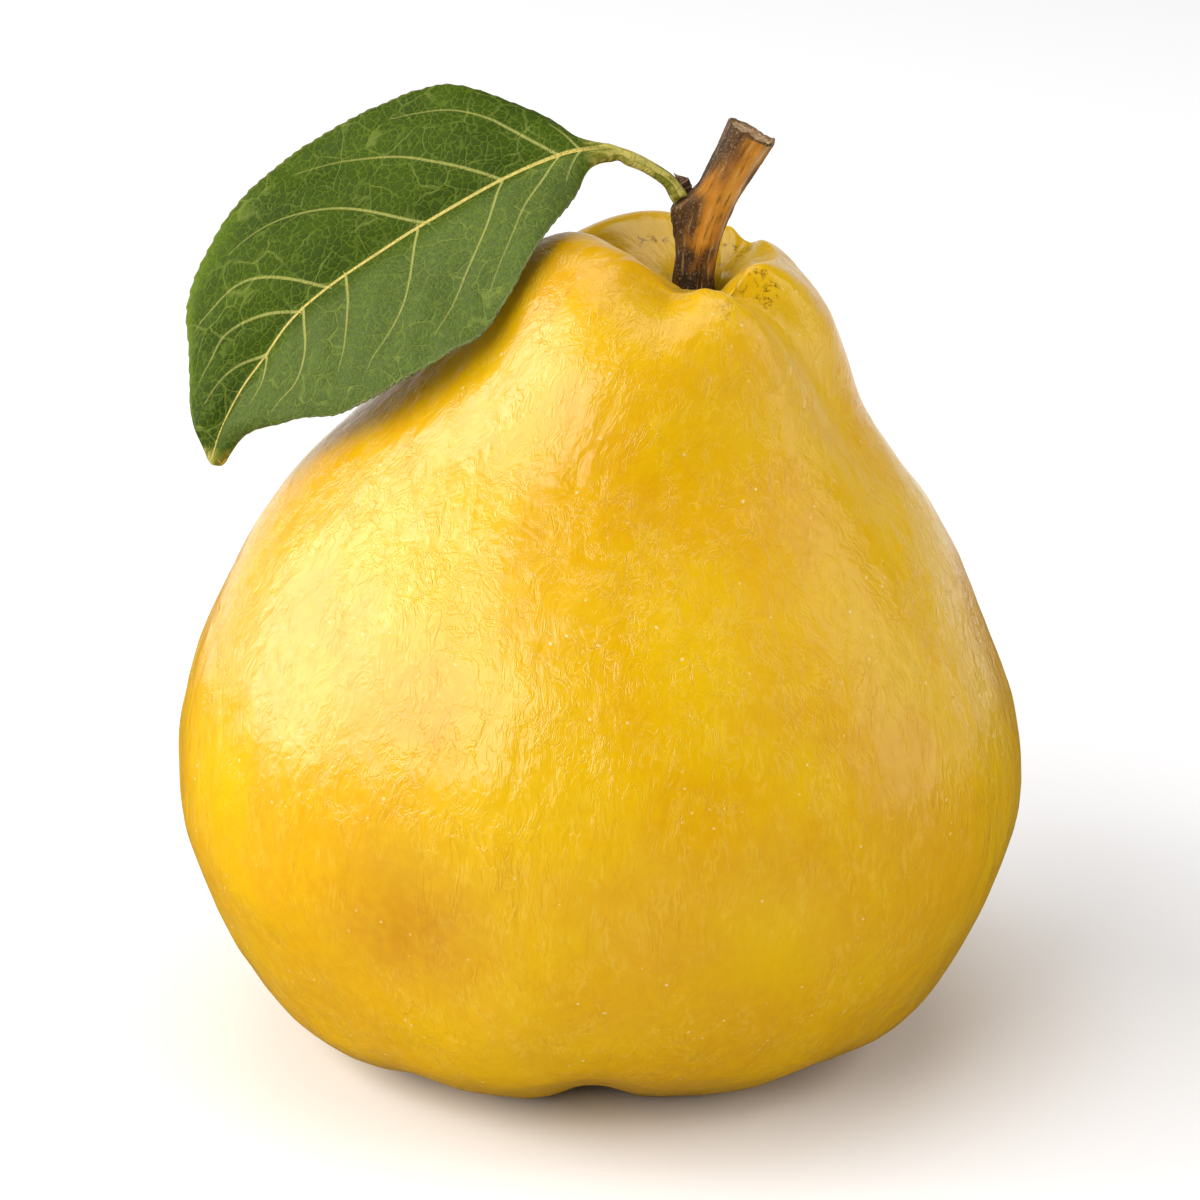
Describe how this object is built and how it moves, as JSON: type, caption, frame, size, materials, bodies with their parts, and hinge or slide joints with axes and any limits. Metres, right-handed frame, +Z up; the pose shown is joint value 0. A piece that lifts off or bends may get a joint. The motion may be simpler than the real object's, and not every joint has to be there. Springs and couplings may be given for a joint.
{
  "type": "quince",
  "caption": "Ripe yellow quince, pear-shaped and lobed, standing on its calyx end with a short woody stalk and a green leaf.",
  "frame": {"origin": "on the surface that the fruit rests on, below the middle of its girth", "axes": "+Z up, from the calyx end to the stalk end; -Y is the front; the leaf hangs over the -X shoulder and the neck leans towards +X"},
  "size_m": [0.0899, 0.0904, 0.1004],
  "materials": {
    "quince_skin": "satin yellow skin with a thin pale down and orange patches",
    "stalk_bark": "dry fibrous orange-brown bark with a pale cut end",
    "leaf_green": "satin mid-green blade with a pale yellow midrib and veins",
    "bud_scale": "matt dark brown scales",
    "dried_calyx": "matt dry grey-brown, with pale edges and dark tips"
  },
  "bodies": {
    "root": {"fruit": "quince_skin", "stalk": "stalk_bark", "leaf": "leaf_green", "axillary_bud": "bud_scale", "sepal_1": "dried_calyx", "sepal_2": "dried_calyx", "sepal_3": "dried_calyx", "sepal_4": "dried_calyx", "sepal_5": "dried_calyx", "stamen_01": "dried_calyx", "stamen_02": "dried_calyx", "stamen_03": "dried_calyx", "stamen_04": "dried_calyx", "stamen_05": "dried_calyx", "stamen_06": "dried_calyx", "stamen_07": "dried_calyx", "stamen_08": "dried_calyx", "stamen_09": "dried_calyx", "stamen_10": "dried_calyx", "stamen_11": "dried_calyx", "stamen_12": "dried_calyx", "stamen_13": "dried_calyx", "stamen_14": "dried_calyx", "stamen_15": "dried_calyx", "style_1": "dried_calyx", "style_2": "dried_calyx", "style_3": "dried_calyx", "style_4": "dried_calyx", "style_5": "dried_calyx"}
  },
  "joints": []
}
